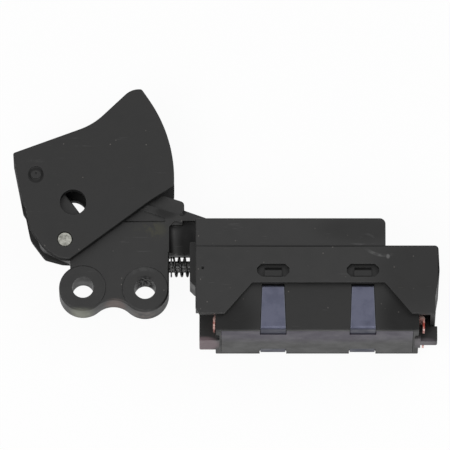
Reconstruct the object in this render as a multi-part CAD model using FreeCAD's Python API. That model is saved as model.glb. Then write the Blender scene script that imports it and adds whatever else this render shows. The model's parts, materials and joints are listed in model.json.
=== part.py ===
import FreeCAD, Part
import math
import os

# Trigger switch of a hand-held power tool, in millimetres. It lies on its back: +X runs from the
# trigger to the switch box, +Y towards the finger, +Z out of the face with the fixing eyes' bores.
# The origin is the middle of the eye under the trigger. Everything is centred on the plane Z = 0.

# Cutters run this far past the faces that they open, and joined forms sink this far into each other
past = 1.0

# Fixing eyes and arm
eye_bore = 5.6
eye_radius = 6.2
eye_pitch = 16.1
eye_drop = 0.3
eye_thick = 8.0
saddle_depth = 3.15
arm_thick = 7.4
arm_top = 18.1
arm_edge_round = 0.5
lock_foot_round = 1.0
head_thick = 6.6

# Trigger pivot, measured from the origin
pivot_x = -4.7
pivot_y = 12.4
pin_diameter = 4.0
pin_running_gap = 0.06
pin_seat_gap = 0.02
pin_recess = 0.15
pin_chamfer = 0.25

# Trigger moulding, its outline measured from the pivot
cheek_thick = 2.1
cheek_gap = 0.4
finger_wall = 2.0
rear_lobe_trim = 1.7
rear_lobe_round = 3.6
rear_tip_round = 1.2
cheek_edge_round = 0.35
lock_hole = 6.9
lock_hole_x = 2.1
lock_hole_y = 10.0
mark_diameter = 3.9
mark_groove = 0.55
mark_depth = 0.3
mark_x = -7.6
mark_y = 17.8
left_wall_end = 12.0
right_wall_end = 18.4
right_opening_start = 6.9
web_thick = 1.8
web_end = 13.4
TRIGGER_OUTLINE = [
    (-13.6, 23.35, 0.6),
    (7.2, 31.15, 17.5),
    (17.1, 40.75, 5.0),
    (19.85, 40.75, 0.9),
    (28.65, 27.65, 38.5),
    (28.3, 14.4, 0.6),
    (22.6, 10.8, 3.0),
    (1.3, -5.3, 0.8),
    (-1.6, -5.2, 5.3),
    (-5.4, -2.2, 8.0),
    (-9.1, 2.9, 6.0),
    (-10.3, 8.9, 0.6),
    (-11.0, 10.0, 0.6),
]
LOBE_OUTLINE = [
    (1.2, -4.1, 0.8),
    (-6.2, -0.7, 3.4),
    (-7.9, 4.4, 1.4),
    (-4.4, 6.6, 1.2),
    (-4.3, 13.4, 2.4),
    (-0.2, 13.4, 0.7),
]
lock_edge_deg = 54.2

# Ramp that carries the link, and the link itself
ramp_x = 16.8
ramp_y = 22.36
ramp_deg = 18.3
ramp_start_x = 9.0
rail_depth = 1.9
rail_end_round = 0.6
link_thick = 3.75
link_width = 5.5
link_running_gap = 0.15
link_left = 5.0
link_nose = 26.1
link_nose_round = 1.2
link_toe = 0.4
link_end_share = 0.98
link_leg_left = 12.5
link_leg_length = 5.5
link_leg_thick = 4.0
link_leg_foot = 2.1
link_leg_round = 0.8
link_side_gap = 0.15
drive_gap = 0.25
slide_travel = 2.9
stop_gap = 0.3

# Gusset, neck and end pad between arm and box
gusset_left = 25.8
gusset_top = 21.0
gusset_right = 38.7
gusset_round = 0.3
neck_thick = 3.8
neck_bottom = 9.7
neck_round = 1.6
pad_thick = 1.5
pad_width = 9.6
pad_top = 12.0
pad_bottom = 0.15
pad_bevel = 1.3
pad_round = 0.4

# Box shell of the holder
box_left = 29.2
box_right = 92.35
box_top = 8.8
box_bottom = -9.6
box_width = 25.6
box_wall = 1.3
deck_top = 16.3
deck_right = 78.4
deck_setback = 0.5
box_corner = 1.0
deck_corner = 1.5
box_edge_round = 0.35
end_lean = 0.3
end_taper = 1.1
end_bulge_drop = 7.0
end_bulge_round = 6.0
end_waist_y = -4.8
end_waist_round = 3.0
inner_corner = 0.2
shell_foot_length = 1.0
shell_foot_height = 1.7
end_opening_top = -2.2
notch_top = -1.2
notch_top_left = 43.9
notch_top_right = 78.2
notch_bottom_left = 36.7
notch_bottom_right = 85.2
notch_corner = 0.6
window_width = 8.4
window_height = 3.45
window_bottom = 0.35
window_corner = 1.1
window_bend = 0.4
dimple_diameter = 0.9
dimple_depth = 0.3
dimple_x = 31.1
dimple_y = 2.7

# Switch unit inside the box
unit_left = 34.4
unit_right = 87.0
unit_bottom = -13.55
unit_top = 4.9
unit_side_gap = 0.1
unit_wall = 1.4
unit_roof = 1.2
unit_edge_round = 0.25
barrier_thick = 1.2
base_thick = 3.4
base_gap = 0.1
left_block_end = 30.2
left_block_drop = 0.85
right_tab_length = 0.5
right_block_width = 3.5
right_block_end = 91.85
right_block_drop = 0.4
block_wall_gap = 0.25
block_rise = 9.0
block_round = 0.4
corner_notch = 0.9
corner_notch_z = 5.2

# Spring-steel clips
clip_centres_x = (49.3, 72.5)
clip_thick = 0.4
clip_top_width = 5.6
clip_foot_width = 6.6
clip_foot_length = 4.6
clip_groove_depth = 0.75
clip_side_gap = 0.15
clip_back_gap = 0.08
clip_bend = 0.8
clip_crease = 0.2
clip_hook = 1.0

# Latches of the unit that snap into the box's windows
latch_width = 4.4
latch_seat_gap = 0.25
latch_face = 1.6
latch_ramp = 0.95
latch_reach = 0.85
latch_round = 0.15

# Push rod, washer and return spring
rod_diameter = 3.0
rod_y = 6.65
rod_bite = 4.6
rod_gap = 0.06
rod_lug_bite = 5.0
washer_diameter = 5.4
washer_thick = 0.4
washer_gap = 0.4
return_spring_diameter = 5.4
return_wire = 0.55
return_turns = 2.75
spring_seat_gap = 0.05

# Slide carriage in the deck
carriage_left = 33.0
carriage_right = 73.5
carriage_side_gap = 1.8
carriage_plate = 2.2
carriage_gap = 0.3
carriage_round = 0.5
lug_length = 6.0
lug_width = 6.0
lug_height = 4.4
rib_thick = 1.6
rib_inset = 2.0
rib_run = 4.0
rib_round = 1.5
foot_length = 5.2
foot_width = 4.4
foot_bottom = -0.8

# Contacts of the two poles
fulcrum_x = 60.0
strip_thick = 1.0
strip_bend = 0.8
strip_width = 4.8
blade_thick = 0.5
blade_bottom = -12.6
blade_gap = 0.15
right_blade_gap = 1.0
slot_gap = 0.1
blade_side_gap = 0.15
strip_wall_gap = 0.7
fulcrum_thick = 0.8
rocker_y = -5.3
rocker_thick = 1.0
rocker_length = 20.0
rocker_width = 4.4
rocker_tilt_deg = 5.0
rocker_gap = 0.06
rocker_round = 0.3
rocker_notch_half = 0.6
rocker_notch_depth = 0.24
detent_near = 3.8
detent_far = 5.2
detent_lean = 0.6
detent_height = 0.9
detent_round = 0.4
contact_diameter = 3.2
contact_height = 0.7
contact_inset = 2.0
contact_gap = 0.12
shelf_length = 5.0
pin_lead = 1.45
plunger_diameter = 2.0
plunger_gap = 0.05
plunger_length = 7.6
plunger_rest_gap = 0.28
pin_spring_diameter = 1.8
pin_spring_wire = 0.3
pin_spring_turns = 4.0
bore_top = 7.0
bore_cap = 0.8

# Sizes that follow from the ones above
eye_half = eye_thick / 2
arm_half = arm_thick / 2
arm_right = eye_pitch + eye_radius
cheek_inner = arm_half + cheek_gap
trigger_half = cheek_inner + cheek_thick
box_half = box_width / 2
unit_half = box_half - box_wall - unit_side_gap
inside_left = box_left + box_wall
pad_left = box_left - pad_thick
base_top = unit_bottom + base_thick
deck_half = box_half - deck_setback
slot_right = link_leg_left + link_leg_length + slide_travel + stop_gap
washer_left = arm_right + washer_gap
pole_z = unit_half - unit_wall - strip_wall_gap - strip_width / 2
block_half = pole_z - strip_width / 2 - blade_side_gap
plunger_x = fulcrum_x - pin_lead


def vec(x, y, z=0.0):
    return FreeCAD.Vector(x, y, z)


def rounded_outline(corners):
    """Closed wire through corners (x, y, radius), each rounded by a tangent arc."""
    bends = []
    for i, (x, y, radius) in enumerate(corners):
        point = vec(x, y)
        if radius == 0:
            bends.append((point, None, point))
            continue
        after = corners[(i + 1) % len(corners)]
        back = (vec(corners[i - 1][0], corners[i - 1][1]) - point).normalize()
        ahead = (vec(after[0], after[1]) - point).normalize()
        half = back.getAngle(ahead) / 2
        reach = radius / math.tan(half)
        middle = (back + ahead).normalize()
        crown = point + middle * (radius / math.sin(half) - radius)
        bends.append((point + back * reach, crown, point + ahead * reach))
    edges = []
    for i, (start, crown, end) in enumerate(bends):
        if crown is not None:
            edges.append(Part.Arc(start, crown, end).toShape())
        following = bends[(i + 1) % len(bends)][0]
        if end.distanceToPoint(following) > 1e-6:
            edges.append(Part.LineSegment(end, following).toShape())
    return Part.Wire(edges)


def slab(wire, low, high):
    """A flat outline raised from one height to another along Z."""
    solid = Part.Face(wire).extrude(vec(0, 0, high - low))
    solid.translate(vec(0, 0, low))
    return solid


def prism(corners, half):
    """An outline of rounded corners, centred on the plane Z = 0."""
    return slab(rounded_outline(corners), -half, half)


def box(x0, x1, y0, y1, z0, z1):
    return Part.makeBox(x1 - x0, y1 - y0, z1 - z0, vec(x0, y0, z0))


def drum(x, y, radius, z0, z1):
    return Part.makeCylinder(radius, z1 - z0, vec(x, y, z0), vec(0, 0, 1))


def rod_x(y, z, radius, x0, x1):
    return Part.makeCylinder(radius, x1 - x0, vec(x0, y, z), vec(1, 0, 0))


def rod_y_axis(x, z, radius, y0, y1):
    return Part.makeCylinder(radius, y1 - y0, vec(x, y0, z), vec(0, 1, 0))


def shifted(corners, dx, dy):
    return [(x + dx, y + dy, radius) for x, y, radius in corners]


def joined(shapes):
    whole = shapes[0].fuse(shapes[1:]) if len(shapes) > 1 else shapes[0]
    return whole.removeSplitter()


def edges_at(solid, half):
    """The edges that lie wholly in one of the two outer faces Z = +half and Z = -half."""
    return [
        edge for edge in solid.Edges
        if edge.BoundBox.ZLength < 1e-6 and abs(abs(edge.BoundBox.ZMin) - half) < 1e-6
    ]


def both_sides(shape):
    """A shape and its mirror image behind the plane Z = 0."""
    return [shape, shape.mirror(vec(0, 0, 0), vec(0, 0, 1))]


def ramp_point(along, above):
    """A point in the ramp's own frame: along it to the right, and square above it."""
    angle = math.radians(ramp_deg)
    x = ramp_x + along * math.cos(angle) + above * math.sin(angle)
    y = ramp_y - along * math.sin(angle) + above * math.cos(angle)
    return x, y


def ramp_height(x):
    return ramp_y - (x - ramp_x) * math.tan(math.radians(ramp_deg))


def along_at(x, above):
    """Distance along the ramp of the point at a given X and a given height above the ramp."""
    angle = math.radians(ramp_deg)
    return (x - ramp_x - above * math.sin(angle)) / math.cos(angle)


def link_end():
    """Centre and radius of the link's round left end, where the trigger pushes it."""
    radius = link_thick / 2
    above = link_running_gap + radius
    x = link_left + radius
    return ramp_point(along_at(x, above), above), radius


def saddle():
    """Centre and radius of the hollow between the eyes, tangent to both of them."""
    half = math.hypot(eye_pitch, eye_drop) / 2
    radius = (half ** 2 + saddle_depth ** 2 - eye_radius ** 2) / (2 * (eye_radius - saddle_depth))
    down = (saddle_depth + radius) / (2 * half)
    return eye_pitch / 2 - eye_drop * down, -eye_drop / 2 - eye_pitch * down, radius


def arm_corners():
    """Outline of the arm plate: the lobe on the pivot, the lock edge, the top and the right side."""
    lobe = shifted(LOBE_OUTLINE, pivot_x, pivot_y)
    edge_x, edge_y, _ = lobe[-1]
    foot_x = edge_x + (edge_y - arm_top) / math.tan(math.radians(lock_edge_deg))
    start_x = eye_radius * 0.5
    return [
        (0.0, 0.0, 0),
        (-start_x, eye_radius * 0.6, 0),
    ] + lobe + [
        (foot_x, arm_top, lock_foot_round),
        (arm_right, arm_top, 0),
        (arm_right, -eye_drop, 0),
        (eye_pitch, -eye_drop, 0),
    ]


def arm_plate():
    saddle_x, saddle_y, saddle_radius = saddle()
    plate = prism(arm_corners(), arm_half)
    bridge = prism([(0, 0, 0), (eye_pitch, -eye_drop, 0), (saddle_x, saddle_y, 0)], arm_half)
    bridge = bridge.cut(drum(saddle_x, saddle_y, saddle_radius, -arm_half, arm_half))
    eyes = [drum(0, 0, eye_radius, -arm_half, arm_half)]
    eyes.append(drum(eye_pitch, -eye_drop, eye_radius, -arm_half, arm_half))
    web = joined([plate, bridge] + eyes)
    web = web.makeFillet(arm_edge_round, edges_at(web, arm_half))
    return web


def eye_bosses():
    bosses = []
    for x, y in ((0.0, 0.0), (eye_pitch, -eye_drop)):
        boss = drum(x, y, eye_radius - arm_edge_round / 2, -eye_half, eye_half)
        bosses.append(boss.makeFillet(arm_edge_round / 2, edges_at(boss, eye_half)))
    return bosses


def arm_head():
    """The set-back head above the arm's top line, with the proud rail along the ramp."""
    head = prism([
        (ramp_start_x, arm_top - past, 0),
        (ramp_start_x, ramp_height(ramp_start_x), rail_end_round),
        (gusset_left, ramp_height(gusset_left), 0),
        (gusset_left, arm_top - past, 0),
    ], head_thick / 2)
    rail = prism([
        (ramp_start_x, ramp_height(ramp_start_x) - rail_depth, 0),
        (ramp_start_x, ramp_height(ramp_start_x), rail_end_round),
        (gusset_left, ramp_height(gusset_left), 0),
        (gusset_left, ramp_height(gusset_left) - rail_depth, 0),
    ], arm_half)
    return [head, rail]


def gusset():
    """Wall from the head down on to the deck, the shoulder under it and the narrow neck."""
    top = prism([
        (gusset_left, arm_top, 0),
        (gusset_left, gusset_top, gusset_round),
        (gusset_right, deck_top, 0),
        (gusset_right, deck_top - box_wall, 0),
        (inside_left, deck_top - box_wall, 0),
        (box_left, arm_top, 0),
    ], arm_half)
    shoulder = prism([
        (arm_right - past, arm_top - neck_round, 0),
        (arm_right - past, arm_top + past, 0),
        (gusset_left + past, arm_top + past, 0),
        (gusset_left + past, arm_top, 0),
        (arm_right + neck_round, arm_top, 0),
        (arm_right, arm_top - neck_round, 0),
    ], arm_half)
    neck_half = neck_thick / 2
    neck = box(arm_right - past, inside_left, neck_bottom, arm_top + past, -neck_half, neck_half)
    return [top, shoulder, neck, neck_root()]


def neck_root():
    """Hollow rounds that lead from both faces of the arm down to the neck."""
    radius = arm_half - neck_thick / 2
    root = box(arm_right - past, arm_right + radius, neck_bottom, arm_top, -arm_half, arm_half)
    hollow = rod_y_axis(arm_right + radius, arm_half, radius, neck_bottom - past, arm_top + past)
    return root.cut(both_sides(hollow))


def link_channel():
    """Room for the link over the ramp, and for its leg down inside the arm."""
    half = link_width / 2 + link_side_gap
    start = ramp_start_x - past
    nose_room = link_nose + slide_travel + stop_gap
    clear_top = ramp_height(start) + 2 * link_thick
    over = prism([
        (start, ramp_height(start), 0),
        (nose_room, ramp_height(nose_room), 0),
        (nose_room, clear_top, 0),
        (start, clear_top, 0),
    ], half)
    leg_half = link_leg_thick / 2 + link_side_gap
    leg = box(link_leg_left - stop_gap, slot_right, rod_y - rod_diameter, ramp_y + link_thick,
              -leg_half, leg_half)
    return [over, leg]


def end_pad():
    """Thick pad on the box's left wall that the return spring and the neck lie against."""
    wall_middle = box_left + box_wall / 2
    return prism([
        (pad_left, pad_top, pad_round),
        (wall_middle, pad_top, 0),
        (wall_middle, pad_bottom, 0),
        (pad_left + pad_bevel, pad_bottom, pad_round),
        (pad_left, pad_bottom + pad_bevel, pad_round),
    ], pad_width / 2)


def shell_outline(inset):
    """Side outline of the lower box: inset 0 is the outer face, inset box_wall the inner one."""
    left = box_left + inset
    right = box_right - inset
    top = box_top - inset
    end_wall = [
        (left, top, 0),
        (right - end_lean, top, max(box_corner - inset, inner_corner)),
        (right, top - end_bulge_drop, end_bulge_round),
        (right - end_taper, end_waist_y, end_waist_round),
    ]
    if inset > 0:
        return end_wall + [(right - end_taper, box_bottom - past, 0), (left, box_bottom - past, 0)]
    return end_wall + [
        (right - end_taper, box_bottom, inner_corner),
        (left + shell_foot_length, box_bottom, 0),
        (left, box_bottom + shell_foot_height, 0),
    ]


def box_shell():
    lower = prism(shell_outline(0), box_half)
    lower = lower.makeFillet(box_edge_round, edges_at(lower, box_half))
    upper = prism([
        (box_left, deck_top, box_corner / 2),
        (deck_right, deck_top, deck_corner),
        (deck_right, box_top - past, 0),
        (box_left, box_top - past, 0),
    ], deck_half)
    upper = upper.makeFillet(box_edge_round, edges_at(upper, deck_half))
    return joined([lower, upper])


def box_hollow():
    inner_half = box_half - box_wall
    lower = prism(shell_outline(box_wall), inner_half)
    upper = box(inside_left, deck_right - box_wall, 0, deck_top - box_wall,
                -deck_half + box_wall, deck_half - box_wall)
    return [lower, upper]


def box_openings():
    """Trapezoid cut-outs, clip windows and the push rod's hole."""
    cuts = []
    slope_left = (notch_top_left - notch_bottom_left) / (notch_top - box_bottom)
    slope_right = (notch_bottom_right - notch_top_right) / (notch_top - box_bottom)
    cuts.append(prism([
        (notch_top_left, notch_top, notch_corner),
        (notch_top_right, notch_top, notch_corner),
        (notch_bottom_right + slope_right * past, box_bottom - past, 0),
        (notch_bottom_left - slope_left * past, box_bottom - past, 0),
    ], box_half + past))
    for x in clip_centres_x:
        cuts.append(prism(window_outline(x), box_half + past))
    cuts.append(rod_x(rod_y, 0, rod_diameter / 2 + rod_gap, slot_right - past, inside_left + past))
    cuts.append(box(box_left - past, inside_left, box_bottom - past, end_opening_top,
                    -box_half - past, box_half - box_wall))
    dimple = drum(dimple_x, dimple_y, dimple_diameter / 2, box_half - dimple_depth, box_half + past)
    return cuts + both_sides(dimple)


def window_outline(x):
    """Rectangle with cut corners, centred on x."""
    half = window_width / 2
    low = window_bottom
    high = window_bottom + window_height
    quarter = [
        (half, low + window_corner),
        (half, high - window_corner),
        (half - window_corner, high),
    ]
    right = [(half - window_corner, low)] + quarter
    left = [(-dx, y) for dx, y in reversed(right)]
    return [(x + dx, y, window_bend) for dx, y in right + left]


def make_holder():
    """One moulding: arm with two eyes, head, gusset, neck and the box open underneath."""
    solid = joined([arm_plate()] + eye_bosses() + arm_head() + gusset() + [end_pad(), box_shell()])
    solid = solid.cut(box_hollow() + link_channel() + box_openings())
    reach = eye_half + past
    bores = [
        drum(0, 0, eye_bore / 2, -reach, reach),
        drum(eye_pitch, -eye_drop, eye_bore / 2, -reach, reach),
        drum(pivot_x, pivot_y, pin_diameter / 2 + pin_running_gap, -reach, reach),
    ]
    return solid.cut(bores)


def cheek_mark():
    """Shallow ring with a round boss in it, as an ejector leaves on the cheek."""
    x = pivot_x + mark_x
    y = pivot_y + mark_y
    outer = mark_diameter / 2
    floor = trigger_half - mark_depth
    sky = trigger_half + past
    ring = drum(x, y, outer, floor, sky)
    ring = ring.cut(drum(x, y, outer - mark_groove, floor, sky))
    dot = drum(x, y, mark_groove / 2, floor, sky)
    return ring.fuse(dot)


def make_trigger():
    """Hollow moulding: two cheeks joined by the finger wall, both end walls and the drive web."""
    outline = rounded_outline(shifted(TRIGGER_OUTLINE, pivot_x, pivot_y))
    body = slab(outline, -trigger_half, trigger_half)
    body = body.makeFillet(cheek_edge_round, edges_at(body, trigger_half))
    hollow = slab(outline.makeOffset2D(-finger_wall), -cheek_inner, cheek_inner)
    left = pivot_x + min(x for x, _, _ in TRIGGER_OUTLINE) - past
    right = pivot_x + max(x for x, _, _ in TRIGGER_OUTLINE) + past
    low = pivot_y + min(y for _, y, _ in TRIGGER_OUTLINE) - past
    high = pivot_y + max(y for _, y, _ in TRIGGER_OUTLINE) + past
    open_left = box(left, right, low, pivot_y + left_wall_end, -cheek_inner, cheek_inner)
    open_right = box(pivot_x + right_opening_start, right, low, pivot_y + right_wall_end,
                     -cheek_inner, cheek_inner)
    (end_x, _), end_radius = link_end()
    face_x = end_x - end_radius - drive_gap
    web = box(face_x - web_thick, face_x, pivot_y + web_end, high, -cheek_inner, cheek_inner)
    web = web.common(hollow)
    body = body.cut([hollow, open_left, open_right]).fuse(web)
    hole_x = pivot_x + lock_hole_x
    hole_y = pivot_y + lock_hole_y
    reach = trigger_half + past
    holes = [
        drum(pivot_x, pivot_y, pin_diameter / 2 + pin_seat_gap, -reach, reach),
        drum(hole_x, hole_y, lock_hole / 2, -reach, reach),
        cheek_mark(),
        rear_lobe(),
    ]
    return body.cut(holes).removeSplitter()


def rear_lobe():
    """What the rear cheek lacks below the pin, where its rounded lobe is smaller."""
    first_x, first_y, _ = TRIGGER_OUTLINE[7]
    second_x, second_y, _ = TRIGGER_OUTLINE[8]
    third_x, third_y, _ = TRIGGER_OUTLINE[9]
    reach = 2 * rear_lobe_trim
    corners = [
        (first_x + 2 * reach, first_y + rear_lobe_trim, 0),
        (first_x, first_y + rear_lobe_trim, rear_tip_round),
        (second_x + rear_lobe_trim / 2, second_y + rear_lobe_trim, rear_lobe_round),
        (third_x, third_y, 0),
        (third_x - reach, third_y, 0),
        (second_x - reach, second_y - reach, 0),
        (first_x, first_y - reach, 0),
        (first_x + 2 * reach, first_y - reach, 0),
    ]
    wire = rounded_outline(shifted(corners, pivot_x, pivot_y))
    return slab(wire, -trigger_half - past, -cheek_inner)


def make_trigger_pin():
    half = trigger_half - pin_recess
    pin = drum(pivot_x, pivot_y, pin_diameter / 2, -half, half)
    return pin.makeChamfer(pin_chamfer, edges_at(pin, half))


def make_trigger_link():
    """Inclined bar on the ramp, with a round driven end, a nose and a leg down to the push rod."""
    low = link_running_gap
    high = low + link_thick
    radius = link_thick / 2
    left = along_at(link_left + radius, low + radius) - radius
    right = along_at(link_nose, low + radius)
    corners = [
        (left, low, radius * link_end_share),
        (right - link_toe, low, link_toe),
        (right, high, link_nose_round),
        (left, high, radius * link_end_share),
    ]
    world = [ramp_point(along, above) + (bend,) for along, above, bend in corners]
    bar = prism(world, link_width / 2)
    leg_right = link_leg_left + link_leg_length
    foot = rod_y - link_leg_foot
    leg = prism([
        (link_leg_left, foot, link_leg_round),
        (leg_right, foot, link_leg_round),
        (leg_right, ramp_height(leg_right) + radius, 0),
        (link_leg_left, ramp_height(link_leg_left) + radius, 0),
    ], link_leg_thick / 2)
    hole = rod_x(rod_y, 0, rod_diameter / 2, leg_right - rod_bite, leg_right + past)
    return joined([bar, leg]).cut(hole)


def make_push_rod():
    """Steel rod from its seat in the link's leg to its seat in the carriage's lug."""
    start = link_leg_left + link_leg_length - rod_bite
    return rod_x(rod_y, 0, rod_diameter / 2, start, carriage_left + rod_lug_bite)


def make_spring_washer():
    right = washer_left + washer_thick
    washer = rod_x(rod_y, 0, washer_diameter / 2, washer_left, right)
    return washer.cut(rod_x(rod_y, 0, rod_diameter / 2 + pin_seat_gap, washer_left, right))


def coil(radius, wire, turns, length):
    """Open helical spring from the origin along +Z, its two end coils lying on their seats."""
    path = Part.makeHelix((length - wire) / turns, length - wire, radius)
    path.translate(vec(0, 0, wire / 2))
    section = Part.Wire(Part.makeCircle(wire / 2, vec(radius, 0, wire / 2), vec(0, 1, 0)))
    return Part.Wire(path).makePipeShell([section], True, True)


def make_return_spring():
    start = washer_left + washer_thick + spring_seat_gap
    length = pad_left - spring_seat_gap - start
    radius = (return_spring_diameter - return_wire) / 2
    spring = coil(radius, return_wire, return_turns, length)
    spring.rotate(vec(0, 0, 0), vec(0, 1, 0), 90)
    spring.translate(vec(start, rod_y, 0))
    return spring


def foot_box(z_side, grow, low, high, travel):
    """Block under the carriage, or with grow and travel the room that it needs."""
    half = foot_length / 2 + grow
    z = z_side * pole_z
    return box(plunger_x - half, plunger_x + half + travel, low, high,
               z - foot_width / 2 - grow, z + foot_width / 2 + grow)


def make_slide_carriage():
    """Plate on the unit's roof with a lug for the rod, guide ribs and two feet into the unit."""
    low = unit_top + carriage_gap
    half = deck_half - box_wall - carriage_side_gap
    plate = prism([
        (carriage_left, low, 0), (carriage_right, low, 0),
        (carriage_right, low + carriage_plate, carriage_round),
        (carriage_left, low + carriage_plate, carriage_round),
    ], half)
    lug = box(carriage_left, carriage_left + lug_length, low, low + lug_height,
              -lug_width / 2, lug_width / 2)
    rib_top = deck_top - box_wall - carriage_gap
    rib = prism([
        (carriage_left + rib_inset, low, 0),
        (carriage_right - rib_inset, low, 0),
        (carriage_right - rib_inset - rib_run, rib_top, rib_round),
        (carriage_left + rib_inset + rib_run, rib_top, rib_round),
    ], rib_thick / 2)
    ribs = [rib.translated(vec(0, 0, side * (half - rib_thick / 2))) for side in (-1, 1)]
    feet = [foot_box(side, 0, foot_bottom, bore_top + bore_cap, 0) for side in (-1, 1)]
    body = joined([plate, lug] + ribs + feet)
    cuts = [rod_x(rod_y, 0, rod_diameter / 2, carriage_left - past, carriage_left + rod_lug_bite)]
    for side in (-1, 1):
        cuts.append(rod_y_axis(plunger_x, side * pole_z, plunger_diameter / 2 + plunger_gap,
                               foot_bottom - past, bore_top))
    return body.cut(cuts)


def left_block():
    """Block on the unit's left end, in the opening of the box's end wall."""
    foot = unit_bottom - left_block_drop
    top = unit_bottom + block_rise
    root = unit_left + past
    return prism([
        (root, foot, 0), (root, top, 0),
        (left_block_end, top, block_round), (left_block_end, foot, block_round),
    ], block_half)


def right_block():
    """Low tab and tall block on the unit's right end, stepped under the box's end wall."""
    foot = unit_bottom - right_block_drop
    top = unit_bottom + block_rise
    ledge = box_bottom - block_wall_gap
    root = unit_right - past
    tab = box(root, unit_right + right_tab_length, foot, top, -block_half, block_half)
    inner = box_right - end_taper - box_wall - block_wall_gap
    block = prism([
        (root, foot, 0), (root, top, 0), (inner, top, block_round), (inner, ledge, 0),
        (right_block_end, ledge, block_round / 2), (right_block_end, foot, block_round),
    ], right_block_width / 2)
    return [tab, block]


def clip_top():
    return notch_top - clip_side_gap


def clip_grooves():
    """Grooves for the clips in both faces of the unit and under it, and slots for their hooks."""
    cuts = []
    depth = clip_thick + clip_back_gap
    ceiling = clip_top() + clip_side_gap
    for x in clip_centres_x:
        top = clip_top_width / 2 + clip_side_gap
        foot = clip_foot_width / 2 + clip_side_gap
        face = prism([
            (x - foot, unit_bottom - past, 0), (x + foot, unit_bottom - past, 0),
            (x + top, ceiling, 0), (x - top, ceiling, 0),
        ], unit_half + past)
        core = box(x - foot, x + foot, unit_bottom - past, ceiling, -unit_half + depth, unit_half - depth)
        cuts.append(face.cut(core))
        hook = unit_half - clip_hook - clip_side_gap
        slot = box(x - top, x + top, ceiling - clip_thick - 2 * clip_side_gap, ceiling,
                   hook, unit_half + past)
        cuts += both_sides(slot)
        under = unit_half - clip_foot_length - clip_side_gap
        sole = box(x - foot, x + foot, unit_bottom - past, unit_bottom + clip_groove_depth,
                   under, unit_half + past)
        cuts += both_sides(sole)
    return cuts


def make_switch_case():
    """Upper shell of the switch unit: open below, split by a barrier between the two poles."""
    shell = box(unit_left, unit_right, unit_bottom, unit_top, -unit_half, unit_half)
    shell = shell.makeFillet(unit_edge_round, shell.Edges)
    solid = joined([shell, left_block()] + right_block() + latches())
    hollow_half = unit_half - unit_wall
    left = unit_left + unit_wall
    right = unit_right - unit_wall
    below = unit_bottom - left_block_drop - past
    chamber = box(left, right, below, unit_top - unit_roof, barrier_thick / 2, hollow_half)
    seat = box(left, right, below, base_top, -hollow_half, hollow_half)
    cuts = both_sides(chamber) + [seat] + clip_grooves()
    for side in (-1, 1):
        cuts.append(foot_box(side, carriage_gap, unit_top - unit_roof - past, unit_top + past, slide_travel))
    cuts += terminal_slots()
    cuts += corner_notches()
    return solid.cut(cuts)


def latches():
    """Wedges on both faces of the unit: a flat below that catches in the window, a ramp above."""
    low = window_bottom + latch_seat_gap
    crest = unit_half + latch_reach
    root = unit_half - past
    profile = [
        (root, low, 0), (crest, low, latch_round), (crest, low + latch_face, latch_round),
        (unit_half, low + latch_face + latch_ramp, 0), (root, low + latch_face + latch_ramp, 0),
    ]
    wedge = prism(profile, latch_width / 2)
    wedge.rotate(vec(0, 0, 0), vec(0, 1, 0), -90)
    wedges = []
    for x in clip_centres_x:
        wedges += both_sides(wedge.translated(vec(x, 0, 0)))
    return wedges


def terminal_slots():
    """Slots in both end walls where the flat strips of the terminals come out."""
    half = strip_width / 2 + slot_gap
    cuts = []
    for x in (unit_left, unit_right - unit_wall):
        slot = box(x - past, x + unit_wall + past, base_top - slot_gap, base_top + strip_thick + slot_gap,
                   pole_z - half, pole_z + half)
        cuts += both_sides(slot)
    return cuts


def corner_notches():
    """Small nicks in the lower edge at both ends of the unit."""
    cuts = []
    half = corner_notch / 2
    for x in (unit_left - past, unit_right - corner_notch):
        notch = box(x, x + past + corner_notch, unit_bottom - past, unit_bottom + corner_notch,
                    corner_notch_z - half, corner_notch_z + half)
        cuts += both_sides(notch)
    return cuts


def make_switch_base():
    """Plate that closes the unit from below, set inside its walls."""
    grow = base_gap
    half = unit_half - unit_wall - grow
    plate = box(unit_left + unit_wall + grow, unit_right - unit_wall - grow, unit_bottom, base_top - grow,
                -half, half)
    return plate.cut(clip_grooves())


def make_clip(centre_x, side):
    """Bent strip: foot under the unit, leg up its face, and a hook turned into the unit's wall."""
    outer = unit_half
    inner = outer - clip_thick
    sole = unit_bottom + clip_groove_depth - clip_back_gap - clip_thick
    top = clip_top()
    profile = [
        (outer - clip_foot_length, sole, 0),
        (outer, sole, clip_bend),
        (outer, top, clip_bend),
        (outer - clip_hook, top, 0),
        (outer - clip_hook, top - clip_thick, 0),
        (inner, top - clip_thick, clip_crease),
        (inner, sole + clip_thick, clip_crease),
        (outer - clip_foot_length, sole + clip_thick, 0),
    ]
    ribbon = slab(rounded_outline(profile), -clip_foot_width, clip_foot_width)
    ribbon.rotate(vec(0, 0, 0), vec(0, 1, 0), -90)
    ribbon.translate(vec(centre_x, 0, 0))
    high_half = clip_top_width / 2
    low_half = clip_foot_width / 2
    shape = prism([
        (centre_x - low_half, unit_bottom - past, 0), (centre_x + low_half, unit_bottom - past, 0),
        (centre_x + high_half, top, 0), (centre_x - high_half, top, 0),
    ], box_half + past)
    clip = ribbon.common(shape)
    if side < 0:
        clip = clip.mirror(vec(0, 0, 0), vec(0, 0, 1))
    return clip


def terminal_strip(blade_x, root, outward, side):
    """Strip along the base from its root, bent down outside the unit into a thin solder blade."""
    inner_x = blade_x - outward * blade_thick
    flat = prism([
        (blade_x, blade_bottom, 0), (blade_x, base_top + strip_thick, strip_bend),
        (root, base_top + strip_thick, 0), (root, base_top, 0),
        (inner_x, base_top, 0), (inner_x, blade_bottom, 0),
    ], strip_width / 2)
    return flat.translated(vec(0, 0, side * pole_z))


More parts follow.
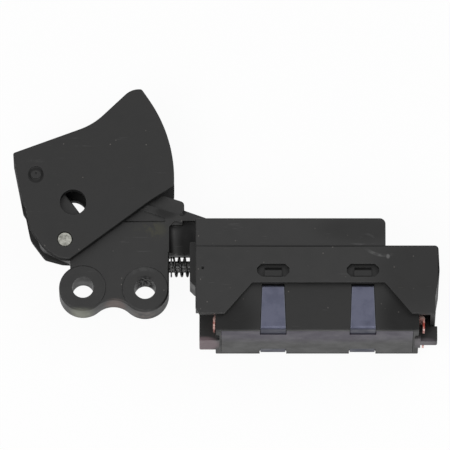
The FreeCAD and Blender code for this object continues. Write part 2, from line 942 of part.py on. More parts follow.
def make_input_terminal(side):
    """Left blade, strip along the base and the knife edge that the rocker stands on."""
    blade_x = unit_left - blade_gap - blade_thick
    root = fulcrum_x + fulcrum_thick / 2
    z = side * pole_z
    tip = rocker_y - rocker_gap
    post = prism([
        (fulcrum_x - fulcrum_thick / 2, base_top, 0),
        (fulcrum_x + fulcrum_thick / 2, base_top, 0),
        (fulcrum_x + fulcrum_thick / 2, tip - fulcrum_thick / 2, 0),
        (fulcrum_x, tip, 0.15),
        (fulcrum_x - fulcrum_thick / 2, tip - fulcrum_thick / 2, 0),
    ], rocker_width / 2)
    return joined([terminal_strip(blade_x, root, -1, side), post.translated(vec(0, 0, z))])


def shelf_level():
    """Top of the raised contact shelf: the rocker's contact meets it at the end of its tilt."""
    arm = rocker_length / 2 - contact_inset
    drop = arm * math.sin(math.radians(rocker_tilt_deg))
    return rocker_y - drop - contact_height - contact_gap - contact_height


def contact_x():
    return fulcrum_x + rocker_length / 2 - contact_inset


def make_output_terminal(side):
    """Right blade, strip along the base and the raised shelf under the fixed contact."""
    blade_x = unit_right + right_blade_gap + blade_thick
    level = shelf_level()
    left = contact_x() - shelf_length / 2
    right = contact_x() + shelf_length / 2
    z = side * pole_z
    half = strip_width / 2
    riser = box(right - strip_thick, right, base_top, level, z - half, z + half)
    shelf = box(left, right, level - strip_thick, level, z - half, z + half)
    return joined([terminal_strip(blade_x, right - strip_thick, 1, side), riser, shelf])


def make_fixed_contact(side):
    level = shelf_level()
    rivet = rod_y_axis(contact_x(), side * pole_z, contact_diameter / 2, level, level + contact_height)
    crown = [e for e in rivet.Edges if abs(e.BoundBox.YMin - level - contact_height) < 1e-6
             and e.BoundBox.YLength < 1e-6]
    return rivet.makeFillet(contact_height / 3, crown)


def tilt(shape):
    """Rest attitude of a rocker: its contact end raised about the knife edge."""
    shape.rotate(vec(fulcrum_x, rocker_y), vec(0, 0, 1), rocker_tilt_deg)
    return shape


def make_rocker(side):
    """Contact bar with a notch for the knife edge and a detent at each side of the pin's path."""
    half = rocker_length / 2
    high = rocker_thick
    peak = detent_far - detent_lean
    bar = prism([
        (-half, 0, rocker_round), (half, 0, rocker_round),
        (half, high, rocker_round), (-half, high, rocker_round),
    ], rocker_width / 2)
    detents = prism([
        (-detent_far, 0, 0), (detent_far, 0, 0),
        (peak, high + detent_height, detent_round), (detent_near, high, rocker_round),
        (-detent_near, high, rocker_round), (-peak, high + detent_height, detent_round),
    ], rocker_width / 2)
    groove = prism([
        (-rocker_notch_half, 0, 0), (rocker_notch_half, 0, 0), (0, rocker_notch_depth, 0),
    ], rocker_width)
    bar = joined([bar, detents]).cut(groove)
    return tilt(bar.translated(vec(fulcrum_x, rocker_y, side * pole_z)))


def make_rocker_contact(side):
    rivet = rod_y_axis(contact_x(), side * pole_z, contact_diameter / 2, rocker_y - contact_height, rocker_y)
    edge = [e for e in rivet.Edges if abs(e.BoundBox.YMin - rocker_y + contact_height) < 1e-6
            and e.BoundBox.YLength < 1e-6]
    return tilt(rivet.makeFillet(contact_height / 3, edge))


def plunger_tip():
    """Height of the pressure pin's tip, just clear of the rocker when it lies level under it."""
    return rocker_y + rocker_thick + plunger_rest_gap


def make_contact_pin(side):
    tip = plunger_tip()
    radius = plunger_diameter / 2
    z = side * pole_z
    shank = rod_y_axis(plunger_x, z, radius, tip + radius, tip + plunger_length)
    ball = Part.makeSphere(radius, vec(plunger_x, tip + radius, z))
    return joined([shank, ball])


def make_pin_spring(side):
    start = plunger_tip() + plunger_length + spring_seat_gap
    length = bore_top - spring_seat_gap - start
    radius = (pin_spring_diameter - pin_spring_wire) / 2
    spring = coil(radius, pin_spring_wire, pin_spring_turns, length)
    spring.rotate(vec(0, 0, 0), vec(1, 0, 0), -90)
    spring.translate(vec(plunger_x, start, side * pole_z))
    return spring


def sub_parts():
    parts = {
        "holder": make_holder(),
        "trigger": make_trigger(),
        "trigger_pin": make_trigger_pin(),
        "trigger_link": make_trigger_link(),
        "push_rod": make_push_rod(),
        "spring_washer": make_spring_washer(),
        "return_spring": make_return_spring(),
        "slide_carriage": make_slide_carriage(),
        "switch_case": make_switch_case(),
        "switch_base": make_switch_base(),
    }
    for depth, side in (("front", 1), ("rear", -1)):
        for end, x in zip(("left", "right"), clip_centres_x):
            parts[f"clip_{depth}_{end}"] = make_clip(x, side)
        parts[f"input_terminal_{depth}"] = make_input_terminal(side)
        parts[f"output_terminal_{depth}"] = make_output_terminal(side)
        parts[f"fixed_contact_{depth}"] = make_fixed_contact(side)
        parts[f"rocker_{depth}"] = make_rocker(side)
        parts[f"rocker_contact_{depth}"] = make_rocker_contact(side)
        parts[f"contact_pin_{depth}"] = make_contact_pin(side)
        parts[f"pin_spring_{depth}"] = make_pin_spring(side)
    return parts


def main():
    os.makedirs("parts", exist_ok=True)
    for name, shape in sub_parts().items():
        shape.exportStep(f"parts/{name}.step")
        print(f"{name:24s} solids {len(shape.Solids)} valid {shape.isValid()} volume {shape.Volume:.2f}")


main()
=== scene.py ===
import json
import math

import bmesh
import bpy
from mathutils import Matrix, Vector


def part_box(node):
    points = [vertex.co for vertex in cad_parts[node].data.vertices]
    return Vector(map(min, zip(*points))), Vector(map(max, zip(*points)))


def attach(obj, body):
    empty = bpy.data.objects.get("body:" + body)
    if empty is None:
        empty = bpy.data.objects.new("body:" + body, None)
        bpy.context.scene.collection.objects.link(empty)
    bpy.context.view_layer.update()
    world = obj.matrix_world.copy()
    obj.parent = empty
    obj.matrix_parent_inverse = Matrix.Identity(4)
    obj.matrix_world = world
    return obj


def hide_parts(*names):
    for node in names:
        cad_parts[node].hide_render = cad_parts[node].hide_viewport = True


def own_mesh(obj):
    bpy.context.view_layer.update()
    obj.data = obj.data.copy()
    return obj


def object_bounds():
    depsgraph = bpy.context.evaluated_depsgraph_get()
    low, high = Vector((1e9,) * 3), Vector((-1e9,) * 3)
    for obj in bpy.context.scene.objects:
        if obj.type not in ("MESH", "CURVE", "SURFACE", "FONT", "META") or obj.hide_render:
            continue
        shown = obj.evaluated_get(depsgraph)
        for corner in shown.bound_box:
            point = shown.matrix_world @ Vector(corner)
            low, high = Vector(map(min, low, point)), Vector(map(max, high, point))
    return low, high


# Everything is in metres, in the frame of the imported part
MM = 0.001

# The photograph: its side in pixels, the width that one pixel covers, and the point at its centre
IMAGE_SIDE = 450
PIXEL = 0.26 * MM
VIEW_CENTRE = (36.84 * MM, 18.03 * MM, 0.0)
VIEW_ELEVATION = 73.5
LENS = 900.0
SENSOR = 36.0

# Floor, backdrop and lamps
FLOOR_SIDE = 3.0
FLOOR_GAP = 0.02 * MM
FLOOR_COLOUR = 0.92
FLOOR_SHOWN = 0.94
WORLD_LIGHT = 0.55
KEY_POWER = 5.0
KEY_SIDE = 0.7
KEY_PLACE = (-0.35, -0.45, 0.95)
FILL_POWER = 1.6
FILL_SIDE = 0.5
FILL_PLACE = (0.5, 0.35, 0.7)
LOW_POWER = 2.0
LOW_SIDE = 0.5
LOW_PLACE = (0.1, -0.9, 0.12)

# Camera's clip distances, as a multiple of the distance to the part and a share of it
CLIP_RATIO = 10

# Return spring, wound from round wire
SPRING_TURNS = 2.75
SPRING_WIRE = 0.55 * MM
WIRE_SIDES = 14
STEPS_PER_TURN = 48


class Look:
    """One procedural material, built by short calls; its textures are placed in the frame's metres."""

    def __init__(self, name):
        self.material = bpy.data.materials.new(name)
        self.material.use_nodes = True
        self.nodes = self.material.node_tree.nodes
        self.links = self.material.node_tree.links
        self.nodes.clear()
        self.place = self.nodes.new("ShaderNodeTexCoord").outputs["Object"]

    def feed(self, socket, value):
        if isinstance(value, bpy.types.NodeSocket):
            self.links.new(value, socket)
        else:
            socket.default_value = value

    def node(self, kind, inputs, **settings):
        made = self.nodes.new(kind)
        for name, value in settings.items():
            setattr(made, name, value)
        for name, value in inputs.items():
            self.feed(made.inputs[name], value)
        return made

    def math(self, operation, first, second=0.0):
        made = self.nodes.new("ShaderNodeMath")
        made.operation = operation
        self.feed(made.inputs[0], first)
        self.feed(made.inputs[1], second)
        return made.outputs[0]

    def moved(self, shift=(0, 0, 0), turn=(0, 0, 0), stretch=(1, 1, 1)):
        """Texture place shifted, turned and stretched."""
        made = self.node("ShaderNodeMapping", {"Vector": self.place})
        made.inputs["Location"].default_value = shift
        made.inputs["Rotation"].default_value = turn
        made.inputs["Scale"].default_value = stretch
        return made.outputs[0]

    def noise(self, size, detail=3.0, rough=0.55, place=None):
        """Cloudy noise from 0 to 1 with lumps of about the given size."""
        made = self.node("ShaderNodeTexNoise", {
            "Vector": place or self.place,
            "Scale": 1.0 / size,
            "Detail": detail,
            "Roughness": rough,
        })
        return made.outputs["Fac"]

    def cells(self, size):
        """Distance to the nearest of the points scattered about one size apart, in sizes."""
        made = self.node("ShaderNodeTexVoronoi", {
            "Vector": self.place,
            "Scale": 1.0 / size,
        })
        return made.outputs["Distance"]

    def ramp(self, value, low, high, out_low=0.0, out_high=1.0):
        """Smooth step of a value from low to high."""
        made = self.node("ShaderNodeMapRange", {
            "Value": value,
            "From Min": low,
            "From Max": high,
            "To Min": out_low,
            "To Max": out_high,
        }, interpolation_type="SMOOTHSTEP")
        return made.outputs["Result"]

    def blend(self, first, second, share):
        """Colour between two others."""
        made = self.nodes.new("ShaderNodeMix")
        made.data_type = "RGBA"
        self.feed(made.inputs[0], share)
        self.feed(made.inputs[6], first)
        self.feed(made.inputs[7], second)
        return made.outputs[2]

    def near(self, centre, radii, soft):
        """1 inside an ellipsoid given in millimetres, falling to 0 over its soft share at the rim."""
        scale = tuple(1.0 / (r * MM) for r in radii)
        shift = tuple(-c / r for c, r in zip(centre, radii))
        place = self.moved(shift=shift, stretch=scale)
        length = self.node("ShaderNodeVectorMath", {0: place}, operation="LENGTH").outputs["Value"]
        return self.ramp(length, 1.0, 1.0 - soft)

    def rounded(self, radius):
        """Normal of the surface with its sharp edges rounded."""
        return self.node("ShaderNodeBevel", {"Radius": radius}, samples=BEVEL_SAMPLES).outputs["Normal"]

    def edges(self, radius):
        """1 on the rim of sharp edges, from how far a rounded normal turns away from the face's own."""
        along = self.node("ShaderNodeVectorMath", {0: self.rounded(radius), 1: self.normal()},
                          operation="DOT_PRODUCT")
        return self.ramp(self.math("SUBTRACT", 1.0, along.outputs["Value"]), *EDGE_BAND)

    def normal(self):
        return self.nodes.new("ShaderNodeNewGeometry").outputs["Normal"]

    def bump(self, height, depth, below=None):
        made = self.nodes.new("ShaderNodeBump")
        self.feed(made.inputs["Height"], height)
        made.inputs["Distance"].default_value = depth
        if below is not None:
            self.feed(made.inputs["Normal"], below)
        return made.outputs["Normal"]

    def finish(self, colour, roughness, normal, metallic, specular=0.5):
        """The material itself, once its surface is joined to its output."""
        shader = self.nodes.new("ShaderNodeBsdfPrincipled")
        self.feed(shader.inputs["Base Color"], colour)
        self.feed(shader.inputs["Roughness"], roughness)
        self.feed(shader.inputs["Normal"], normal)
        self.feed(shader.inputs["Metallic"], metallic)
        shader.inputs["Specular IOR Level"].default_value = specular
        output = self.nodes.new("ShaderNodeOutputMaterial")
        self.links.new(shader.outputs[0], output.inputs["Surface"])
        return self.material


def grey(level, warm=0.0):
    """Dark neutral colour, a little warmer or cooler."""
    return (level * (1 + warm), level, level * (1 - warm), 1.0)


# Edges, found by a rounded normal. A band is the stretch of a value over which an effect sets in
BEVEL_SAMPLES = 4
EDGE_BAND = (0.02, 0.25)

# Surface of the mouldings; the stretch draws scratches out along X before their turn in radians
MOTTLE_SIZE = 4.0 * MM
MOTTLE_BAND = (0.3, 0.7)
MOTTLE_DEPTH = 0.05 * MM
MOTTLE_DARK = 0.7
MOTTLE_LIGHT = 1.4
GRAIN_SIZE = 0.22 * MM
GRAIN_DEPTH = 0.016 * MM
EDGE_ROUND = 0.15 * MM
SCRATCH_SIZE = 0.5 * MM
SCRATCH_TURN = 0.6
SCRATCH_STRETCH = 0.08
SCRATCH_BAND = (0.66, 0.72)
SCRATCH_PATCHES = (0.45, 0.6)
SCRATCH_SHARE = 0.4
RUB_WIDTH = 0.35 * MM
RUB_PATCH = 2.5 * MM
RUB_BAND = (0.35, 0.65)
RUB_SHARES = (0.15, 0.7)
RUB_POLISH = 0.12
RUBBED = grey(0.045)
DUST_GAP = 2.4 * MM
DUST_BAND = (0.085, 0.04)
DUST_PATCH = 3.0 * MM
DUST_PATCHES = (0.5, 0.58)
DUST_SHARE = 0.8
DUST = grey(0.12, warm=0.08)
# Black marks paint shade, and a few real dark dots; the next value makes them rougher
BLACK = grey(0.001)
SHADE_AND_DOTS_ROUGH = 0.5
ROUGH_BAND = (0.25, 0.75)
ROUGH_BELOW = 0.07
ROUGH_ABOVE = 0.08

# Surface of the metals, with lines drawn out along Y and darker, duller clouds
CLOUD_BAND = (0.35, 0.62)
DULL_BAND = (0.3, 0.7)
DULL_ROUGHER = 0.15
BRIGHT_SMOOTHER = 0.05
DRAWN_SIZE = 0.3 * MM
DRAWN_DEPTH = 0.006 * MM
DRAWN_STRETCH = 0.06
DRAWN_BAND = (0.6, 0.75)
DRAWN_SHARE = 0.4

# Noise that breaks the marks up, how soft their rims are, and which way their faces look
LUMP_BAND = (0.42, 0.6)
SCUFF_LINES = 0.45 * MM
SCUFF_BAND = (0.5, 0.68)
SCUFF_STRETCH = 0.12
SCUFF_SOFT = 0.7
RING_PATCH = 1.5 * MM
RING_BAND = (0.3, 0.6)
RING_SOFT = 0.8
RIM_WIDTH = 0.4 * MM
SIDE_BAND = (0.6, 0.1)
UNDER_BAND = (-0.5, -0.85)


def stain(centre, radii, tint, share, soft=0.6, lump=0.0):
    """A soft stain: place and half sizes in millimetres, colour, strength; lump breaks it up."""
    def mark(look):
        mask = look.near(centre, radii, soft)
        if lump:
            mask = look.math("MULTIPLY", mask, look.ramp(look.noise(lump * MM), *LUMP_BAND))
        return mask, tint, share
    return mark


def scuff(centre, radii, turn, tint, share):
    """Fine lines rubbed into a patch, at an angle about Z in degrees."""
    def mark(look):
        mask = look.near(centre, radii, SCUFF_SOFT)
        place = look.moved(turn=(0, 0, math.radians(-turn)), stretch=(SCUFF_STRETCH, 1.0, 1.0))
        lines = look.ramp(look.noise(SCUFF_LINES, detail=2.0, place=place), *SCUFF_BAND)
        return look.math("MULTIPLY", mask, lines), tint, share
    return mark


def ring(centre, radius, half, tint, share, window=None):
    """A circular line about Z, or the part of it in an ellipsoid window (centre, half sizes), broken
    up; used for worn rings and for a painted lighter arc.
    """
    def mark(look):
        place = look.moved(shift=(-centre[0] * MM, -centre[1] * MM, 0.0), stretch=(1.0, 1.0, 0.0))
        length = look.node("ShaderNodeVectorMath", {0: place}, operation="LENGTH").outputs["Value"]
        away = look.math("ABSOLUTE", look.math("SUBTRACT", length, radius * MM))
        mask = look.ramp(away, half * MM, half * MM / 2)
        if window:
            inside = look.near(*window, RING_SOFT)
            broken = look.ramp(look.noise(RING_PATCH), *RING_BAND)
            mask = look.math("MULTIPLY", mask, look.math("MULTIPLY", inside, broken))
        return mask, tint, share
    return mark


def shaded_sides(tint, share):
    """Faces that stand upright, across the part's own face; the tint on them is painted shade."""
    def mark(look):
        parts = look.node("ShaderNodeSeparateXYZ", {"Vector": look.normal()})
        return look.ramp(look.math("ABSOLUTE", parts.outputs["Z"]), *SIDE_BAND), tint, share
    return mark


def rims(tint, share):
    """Sharp edges, rubbed bright."""
    return lambda look: (look.edges(RIM_WIDTH), tint, share)


def shaded_underside(tint, share):
    """Faces that look down, out of the open underside of the box; the tint on them is painted shade."""
    def mark(look):
        parts = look.node("ShaderNodeSeparateXYZ", {"Vector": look.normal()})
        return look.ramp(parts.outputs["Y"], *UNDER_BAND), tint, share
    return mark


def moulded(name, level, roughness, specular, marks=()):
    """Dark moulded plastic: eroded grain, flow mottling, dust, light scratches and rubbed edges.

    A black mark darkens and takes the sheen away too: painted shade in creases, recesses and on sides,
    a few real dark dots, and some broad darker zones.
    """
    look = Look(name)
    mottle = look.noise(MOTTLE_SIZE, detail=4.0)
    grain = look.noise(GRAIN_SIZE, detail=2.0)
    along = look.moved(turn=(0, 0, SCRATCH_TURN), stretch=(SCRATCH_STRETCH, 1.0, 1.0))
    lines = look.noise(SCRATCH_SIZE, detail=2.0, place=along)
    rub = look.edges(RUB_WIDTH)
    colour = look.blend(grey(level * MOTTLE_DARK), grey(level * MOTTLE_LIGHT, warm=0.02),
                        look.ramp(mottle, *MOTTLE_BAND))
    worn = look.math("MULTIPLY", rub, look.ramp(look.noise(RUB_PATCH), *RUB_BAND, *RUB_SHARES))
    colour = look.blend(colour, RUBBED, worn)
    scratch = look.math("MULTIPLY", look.ramp(lines, *SCRATCH_BAND),
                        look.ramp(mottle, *SCRATCH_PATCHES))
    colour = look.blend(colour, RUBBED, look.math("MULTIPLY", scratch, SCRATCH_SHARE))
    speck = look.math("MULTIPLY", look.ramp(look.cells(DUST_GAP), *DUST_BAND),
                      look.ramp(look.noise(DUST_PATCH, detail=1.0), *DUST_PATCHES))
    colour = look.blend(colour, DUST, look.math("MULTIPLY", speck, DUST_SHARE))
    # Black marks: painted shade, and a few real dark dots. Their mask also makes the plastic metallic
    # black and rougher, to take its sheen away
    shade_and_dots = 0.0
    for mask, tint, share in [mark(look) for mark in marks]:
        mask = look.math("MULTIPLY", mask, share)
        colour = look.blend(colour, tint, mask)
        if tint is BLACK:
            shade_and_dots = look.math("MAXIMUM", mask, shade_and_dots)
    rough = look.ramp(mottle, *ROUGH_BAND, roughness - ROUGH_BELOW, roughness + ROUGH_ABOVE)
    rough = look.math("SUBTRACT", rough, look.math("MULTIPLY", worn, RUB_POLISH))
    rough = look.math("ADD", rough, look.math("MULTIPLY", shade_and_dots, SHADE_AND_DOTS_ROUGH))
    coarse = look.bump(mottle, MOTTLE_DEPTH, look.rounded(EDGE_ROUND))
    normal = look.bump(grain, GRAIN_DEPTH, coarse)
    return look.finish(colour, rough, normal, metallic=shade_and_dots, specular=specular)


def metal(name, light, dark, roughness, cloud_size, marks=()):
    """Bare strip, wire or turned metal with drawn lines and darker clouds."""
    look = Look(name)
    cloud = look.noise(cloud_size, detail=4.0, rough=0.6)
    along = look.moved(stretch=(1.0, DRAWN_STRETCH, 1.0))
    drawn = look.noise(DRAWN_SIZE, detail=2.0, place=along)
    colour = look.blend(dark, light, look.ramp(cloud, *CLOUD_BAND))
    colour = look.blend(colour, dark, look.ramp(drawn, *DRAWN_BAND, out_high=DRAWN_SHARE))
    for mask, tint, share in [mark(look) for mark in marks]:
        colour = look.blend(colour, tint, look.math("MULTIPLY", mask, share))
    rough = look.ramp(cloud, *DULL_BAND, roughness + DULL_ROUGHER, roughness - BRIGHT_SMOOTHER)
    normal = look.bump(drawn, DRAWN_DEPTH)
    return look.finish(colour, rough, normal, metallic=1.0)


# Marks and darker places seen in the photograph, in millimetres
HOLDER_MARKS = [
    # On the face of the box
    scuff((72.0, 9.3, 12.8), (5.5, 0.9, 1.0), 2, grey(0.09), 0.5),
    ring((78.3, 14.0), 7.95, 0.5, grey(0.11), 0.6, ((76.3, 6.6, 12.8), (4.6, 2.4, 1.5))),
    stain((79.0, 5.8, 12.8), (0.6, 0.8, 1.0), grey(0.14), 0.7),
    ring((73.0, 8.6), 3.4, 0.35, grey(0.06), 0.35, ((74.5, 11.6, 12.8), (3.2, 2.0, 1.5))),
    scuff((39.0, 14.0, 12.8), (3.6, 3.2, 1.5), 90, grey(0.04), 0.5),
    stain((31.1, 2.7, 12.8), (0.4, 0.4, 1.0), BLACK, 0.7),
    # Painted shadow along the step between the deck and the box
    stain((56.0, 8.55, 12.5), (45.0, 0.32, 1.2), BLACK, 0.5, soft=0.8),
    # Broad darker, duller zones towards the right of the box face
    stain((86.0, 1.0, 12.8), (15.0, 15.0, 3.0), BLACK, 0.15),
    stain((72.0, 13.2, 12.0), (16.0, 5.0, 3.0), BLACK, 0.15),
    # On the eyes
    stain((-1.0, -7.5, 0.0), (7.8, 3.2, 7.0), (0.15, 0.155, 0.115, 1), 0.85),
    stain((8.6, -3.6, 0.0), (4.0, 1.8, 5.0), (0.09, 0.05, 0.04, 1), 0.6),
    # Painted light: a lighter arc over the top of the right eye's boss, lifting the shadow line at its
    # rim
    ring((16.1, -0.3), 5.4, 0.9, grey(0.04), 0.6, ((14.8, 4.8, 4.0), (5.5, 2.6, 2.0))),
    stain((16.5, -7.2, 0.0), (7.0, 3.0, 5.0), (0.08, 0.06, 0.05, 1), 0.6, lump=1.6),
    # Painted shade in the upper part of the right eye
    stain((16.1, 2.2, 0.0), (3.6, 2.2, 6.0), BLACK, 0.8, lump=0.8),
    # On the arm and the neck
    stain((17.5, 15.5, 4.0), (5.5, 3.6, 1.5), (0.03, 0.03, 0.014, 1), 0.6, lump=2.5),
    # Painted shade in the neck pocket and over the top of the neck, which also dims the lit end of the
    # gusset
    stain((27.0, 13.2, 1.9), (3.6, 10.5, 3.0), BLACK, 0.42, soft=0.7),
    stain((25.8, 20.6, 4.0), (1.4, 1.6, 2.5), BLACK, 0.5),
    stain((21.5, 20.4, 4.0), (4.0, 2.4, 2.0), BLACK, 0.28),
    # On the right end of the box: painted shade that darkens its lit side face
    stain((93.2, -2.0, 0.0), (1.8, 90.0, 90.0), BLACK, 0.8),
]
TRIGGER_MARKS = [
    # Painted shade on the trigger's upright side faces
    shaded_sides(BLACK, 0.6),
    ring((-12.3, 29.7), 1.7, 0.5, BLACK, 0.3),
    stain((-12.1, 30.4, 8.4), (1.4, 1.4, 1.0), BLACK, 0.3, lump=0.5),
    stain((2.0, 33.0, 8.4), (20.0, 12.0, 2.0), grey(0.03), 0.55, lump=0.45),
]
UNIT_MARKS = [
    # Real pinkish tint and painted light: lightens the lit low band of the left end block
    stain((31.2, -14.4, 0.5), (5.0, 1.6, 7.0), (0.14, 0.1, 0.11, 1), 0.85, soft=0.4),
    # Painted light: lightens the low band of the right end block, which sits in shade
    stain((88.5, -14.2, 0.5), (4.0, 1.6, 7.0), (0.08, 0.07, 0.08, 1), 0.8),
    # Painted shade at both ends of the unit, beside the box walls
    stain((37.0, -11.0, 12.0), (11.0, 11.0, 4.0), BLACK, 0.25),
    stain((83.5, -10.0, 12.0), (9.0, 11.0, 4.0), BLACK, 0.28),
]
BASE_MARKS = [
    stain((61.0, -13.5, 9.0), (60.0, 5.0, 12.0), (0.03, 0.022, 0.045, 1), 0.7),
]
CLIP_MARKS = [
    stain((73.5, -11.8, 12.4), (1.8, 1.3, 1.5), (0.055, 0.06, 0.085, 1), 0.6),
    scuff((72.5, -10.6, 12.4), (3.0, 1.6, 1.5), 0, (0.055, 0.06, 0.08, 1), 0.6),
    stain((72.5, -0.5, 12.4), (5.0, 4.0, 1.5), (0.07, 0.075, 0.12, 1), 0.7),
    rims((0.17, 0.18, 0.2, 1), 0.8),
    # Painted shade on the clip's down-facing faces
    shaded_underside((0.05, 0.053, 0.075, 1), 0.95),
]
LINK_MARKS = [
    # Painted shade on the link's upright side faces
    shaded_sides(BLACK, 0.6),
]


def make_materials():
    """One material for each slot of the record."""
    return {
        "holder_plastic": moulded("holder_plastic", 0.006, 0.52, 0.5, HOLDER_MARKS),
        "trigger_plastic": moulded("trigger_plastic", 0.006, 0.56, 0.45, TRIGGER_MARKS),
        "link_plastic": moulded("link_plastic", 0.009, 0.45, 0.5, LINK_MARKS),
        "carriage_plastic": moulded("carriage_plastic", 0.012, 0.5, 0.5),
        "case_plastic": moulded("case_plastic", 0.006, 0.55, 0.42, UNIT_MARKS),
        "base_plastic": moulded("base_plastic", 0.010, 0.52, 0.5, BASE_MARKS),
        "pin_plastic": moulded("pin_plastic", 0.03, 0.45, 0.5),
        "pin_steel": metal("pin_steel", (0.42, 0.42, 0.38, 1), (0.2, 0.2, 0.18, 1), 0.45, 0.8 * MM),
        "clip_steel": metal("clip_steel", (0.115, 0.12, 0.165, 1), (0.095, 0.1, 0.14, 1), 0.45,
                            4.0 * MM, CLIP_MARKS),
        "spring_wire": metal("spring_wire", (0.1, 0.1, 0.1, 1), (0.012, 0.012, 0.012, 1), 0.35,
                             0.5 * MM),
        "copper": metal("copper", (0.9, 0.62, 0.56, 1), (0.32, 0.06, 0.045, 1), 0.35, 2.0 * MM),
        "contact_silver": metal("contact_silver", (0.7, 0.69, 0.66, 1), (0.3, 0.3, 0.3, 1), 0.3,
                                0.8 * MM),
    }


def node_slots(record):
    """Material slot of each CAD node, as the record states it."""
    return {part["node"]: part["material_slot"] for part in record["subparts"]}


def dress_nodes(frame, materials):
    slots = node_slots(frame["record"])
    for name, thing in frame["nodes"].items():
        material = materials[slots[name]]
        if not thing.material_slots:
            thing.data.materials.append(material)
        for place in thing.material_slots:
            place.material = material


def new_piece(name, shape, material):
    """Adds a finished bmesh to the scene as an object with one material."""
    mesh = bpy.data.meshes.new(name)
    shape.to_mesh(mesh)
    shape.free()
    for face in mesh.polygons:
        face.use_smooth = True
    mesh.materials.append(material)
    thing = bpy.data.objects.new(name, mesh)
    bpy.context.scene.collection.objects.link(thing)
    return thing


def spring_point(low, high, radius, share):
    """Centre of the wire and its outward direction, a share of the way along the coil."""
    angle = share * SPRING_TURNS * 2 * math.pi
    middle = (low + high) / 2
    outward = Vector((0, math.cos(angle), math.sin(angle)))
    x = low.x + SPRING_WIRE / 2 + share * (high.x - low.x - SPRING_WIRE)
    return Vector((x, middle.y, middle.z)) + outward * radius, outward


def make_return_spring(materials):
    """The coil between the washer and the box, fixed to the holder in place of the CAD spring."""
    low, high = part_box("return_spring")
    radius = (high.y - low.y) / 2 - SPRING_WIRE / 2
    steps = int(SPRING_TURNS * STEPS_PER_TURN)
    shape = bmesh.new()
    loops = []
    for i in range(steps + 1):
        centre, outward = spring_point(low, high, radius, i / steps)
        loop = []
        for k in range(WIRE_SIDES):
            turn = 2 * math.pi * k / WIRE_SIDES
            offset = outward * math.cos(turn) + Vector((1, 0, 0)) * math.sin(turn)
            loop.append(shape.verts.new(centre + offset * SPRING_WIRE / 2))
        loops.append(loop)
    for first, second in zip(loops, loops[1:]):
        for k in range(WIRE_SIDES):
            j = (k + 1) % WIRE_SIDES
            shape.faces.new((first[k], first[j], second[j], second[k]))
    shape.faces.new(loops[0][::-1])
    shape.faces.new(loops[-1])
    bmesh.ops.recalc_face_normals(shape, faces=shape.faces)
    piece = new_piece("return_coil", shape, materials["spring_wire"])
    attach(piece, "holder_body")
    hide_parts("return_spring")
    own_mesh(piece)


def seen_rays(nodes, links):
    """1 for the rays that show the background itself: camera, glossy and transmission rays."""
    path = nodes.new("ShaderNodeLightPath")
    total = None
    for name in ("Is Camera Ray", "Is Glossy Ray", "Is Transmission Ray"):
        if total is None:
            total = path.outputs[name]
            continue
        larger = nodes.new("ShaderNodeMath")
        larger.operation = "MAXIMUM"
        links.new(total, larger.inputs[0])
        links.new(path.outputs[name], larger.inputs[1])
        total = larger.outputs[0]
    return total


def make_floor(low):
    """Pale floor that keeps a soft shadow."""
    material = bpy.data.materials.new("floor")
    material.use_nodes = True
    nodes = material.node_tree.nodes
    links = material.node_tree.links
    nodes.clear()
    diffuse = nodes.new("ShaderNodeBsdfDiffuse")
    diffuse.inputs["Color"].default_value = (FLOOR_COLOUR, FLOOR_COLOUR, FLOOR_COLOUR, 1)
    glow = nodes.new("ShaderNodeEmission")
    share = nodes.new("ShaderNodeMath")
    share.operation = "MULTIPLY"
    links.new(seen_rays(nodes, links), share.inputs[0])
    share.inputs[1].default_value = FLOOR_SHOWN
    mix = nodes.new("ShaderNodeMixShader")
    links.new(share.outputs[0], mix.inputs[0])
    links.new(diffuse.outputs[0], mix.inputs[1])
    links.new(glow.outputs[0], mix.inputs[2])
    output = nodes.new("ShaderNodeOutputMaterial")
    links.new(mix.outputs[0], output.inputs["Surface"])
    shape = bmesh.new()
    half = FLOOR_SIDE / 2
    corners = [(-half, -half), (half, -half), (half, half), (-half, half)]
    level = low.z - FLOOR_GAP
    shape.faces.new([shape.verts.new((x, y, level)) for x, y in corners])
    floor = new_piece("floor", shape, material)


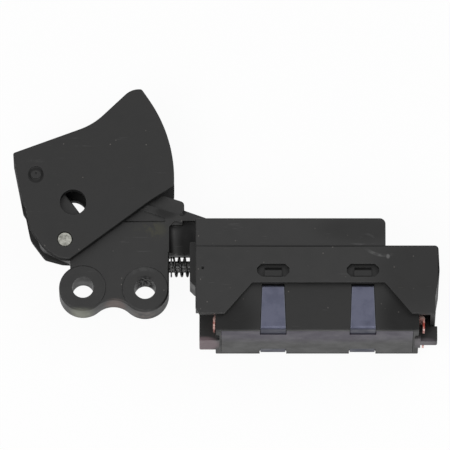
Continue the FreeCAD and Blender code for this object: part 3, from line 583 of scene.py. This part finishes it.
def make_world():
    world = bpy.data.worlds.new("studio")
    bpy.context.scene.world = world
    world.use_nodes = True
    nodes = world.node_tree.nodes
    links = world.node_tree.links
    nodes.clear()
    background = nodes.new("ShaderNodeBackground")
    strength = nodes.new("ShaderNodeMapRange")
    links.new(seen_rays(nodes, links), strength.inputs["Value"])
    strength.inputs["To Min"].default_value = WORLD_LIGHT
    strength.inputs["To Max"].default_value = 1.0
    links.new(strength.outputs["Result"], background.inputs["Strength"])
    output = nodes.new("ShaderNodeOutputWorld")
    links.new(background.outputs[0], output.inputs["Surface"])


def make_lamp(name, place, power, side):
    data = bpy.data.lights.new(name, "AREA")
    data.energy = power
    data.size = side
    lamp = bpy.data.objects.new(name, data)
    bpy.context.scene.collection.objects.link(lamp)
    lamp.location = place
    aim = Vector(VIEW_CENTRE) - Vector(place)
    lamp.rotation_mode = "QUATERNION"
    lamp.rotation_quaternion = aim.to_track_quat("-Z", "Y")


def make_camera():
    """Camera above the front edge, as in the photograph."""
    data = bpy.data.cameras.new("camera")
    data.lens = LENS
    data.sensor_width = SENSOR
    angle = math.radians(VIEW_ELEVATION)
    back = Vector((0, -math.cos(angle), math.sin(angle)))
    distance = IMAGE_SIDE * PIXEL * LENS / SENSOR
    data.clip_start = distance / CLIP_RATIO
    data.clip_end = distance * CLIP_RATIO
    camera = bpy.data.objects.new("camera", data)
    bpy.context.scene.collection.objects.link(camera)
    camera.location = Vector(VIEW_CENTRE) + back * distance
    camera.rotation_mode = "QUATERNION"
    camera.rotation_quaternion = (-back).to_track_quat("-Z", "Y")
    bpy.context.scene.camera = camera


with open("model.json") as file:
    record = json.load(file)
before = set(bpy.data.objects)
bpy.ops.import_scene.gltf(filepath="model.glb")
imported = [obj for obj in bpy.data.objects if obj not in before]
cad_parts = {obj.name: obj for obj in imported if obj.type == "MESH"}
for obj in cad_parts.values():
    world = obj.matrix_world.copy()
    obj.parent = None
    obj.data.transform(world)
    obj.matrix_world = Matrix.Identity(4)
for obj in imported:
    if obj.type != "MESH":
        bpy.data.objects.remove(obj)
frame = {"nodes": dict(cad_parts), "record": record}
cad_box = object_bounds()
materials = make_materials()
dress_nodes(frame, materials)
make_return_spring(materials)
make_floor(cad_box[0])
make_world()
make_lamp("key", KEY_PLACE, KEY_POWER, KEY_SIDE)
make_lamp("fill", FILL_PLACE, FILL_POWER, FILL_SIDE)
make_lamp("low", LOW_PLACE, LOW_POWER, LOW_SIDE)
make_camera()
bpy.context.scene.view_settings.view_transform = "Standard"
